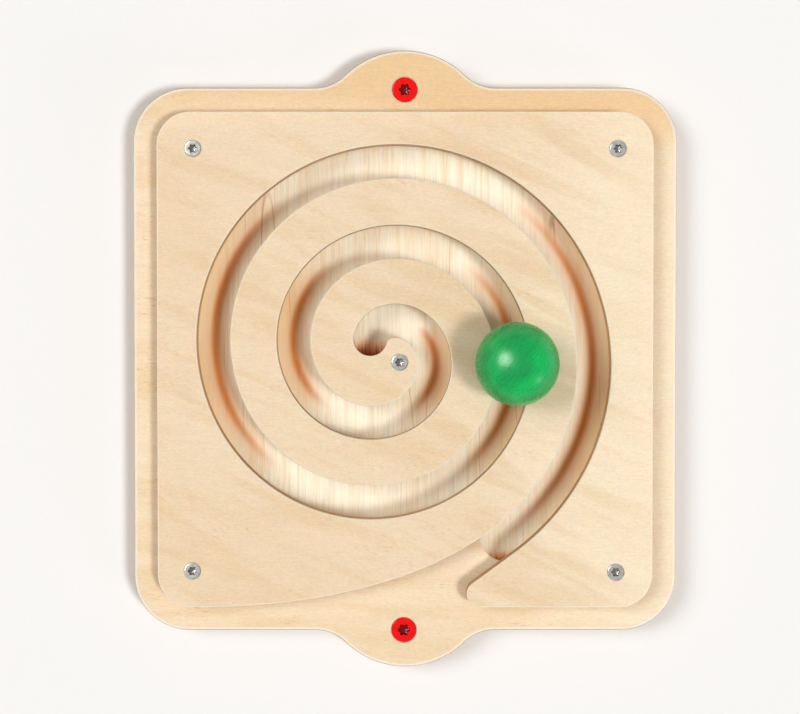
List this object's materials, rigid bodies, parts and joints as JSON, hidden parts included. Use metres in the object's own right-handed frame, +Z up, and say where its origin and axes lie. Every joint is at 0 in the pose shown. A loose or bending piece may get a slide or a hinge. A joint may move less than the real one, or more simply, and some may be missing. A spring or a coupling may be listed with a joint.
{
  "type": "spiral ball maze board",
  "caption": "Plywood wall or table board with a spiral slot; a captive ball on a groove guide travels along it from the centre to the open end.",
  "frame": {"origin": "centre of the flat back face, lying on its back with the play face up", "axes": "+Z up out of the play face, +X to the right and +Y to the top tab as the board is looked at"},
  "size_m": [0.272, 0.309, 0.0639],
  "materials": {
    "front_ply": "satin",
    "back_ply": "satin",
    "green_lacquer": "satin",
    "red_lacquer": "gloss",
    "zinc": "satin",
    "brass": "satin",
    "nylon": "matte"
  },
  "bodies": {
    "board": {"back_plate": "back_ply", "front_plate": "front_ply", "screw_top_left": "zinc", "screw_top_right": "zinc", "screw_bottom_left": "zinc", "screw_bottom_right": "zinc", "screw_centre": "zinc", "tab_screw_top": "red_lacquer", "tab_screw_bottom": "red_lacquer"},
    "spiral_arm": {"centre_plug": "back_ply"},
    "guide": {"groove_guide": "nylon", "spacer_sleeve": "nylon"},
    "ball_knob": {"ball": "green_lacquer", "ball_insert": "brass", "stem_bolt": "zinc", "stem_washer": "zinc"}
  },
  "joints": [
    {"name": "spiral_turn", "type": "hinge", "parent": "board", "child": "spiral_arm", "pos_m": [-0.01053, 0.00397, 0], "axis": [0, 0, 1], "range_deg": [-411.8, 500.7]},
    {"name": "radial_slide", "type": "slide", "parent": "spiral_arm", "child": "guide", "axis": [0.9966, -0.0819, 0], "range_m": [-0.0554, 0.0456]},
    {"name": "ball_spin", "type": "hinge", "parent": "guide", "child": "ball_knob", "pos_m": [0.05393, -0.00133, 0], "axis": [0, 0, 1], "continuous": true}
  ],
  "couplings": [
    {"joint": "radial_slide", "follows": "spiral_turn", "m_per_rad": -0.0063328}
  ]
}
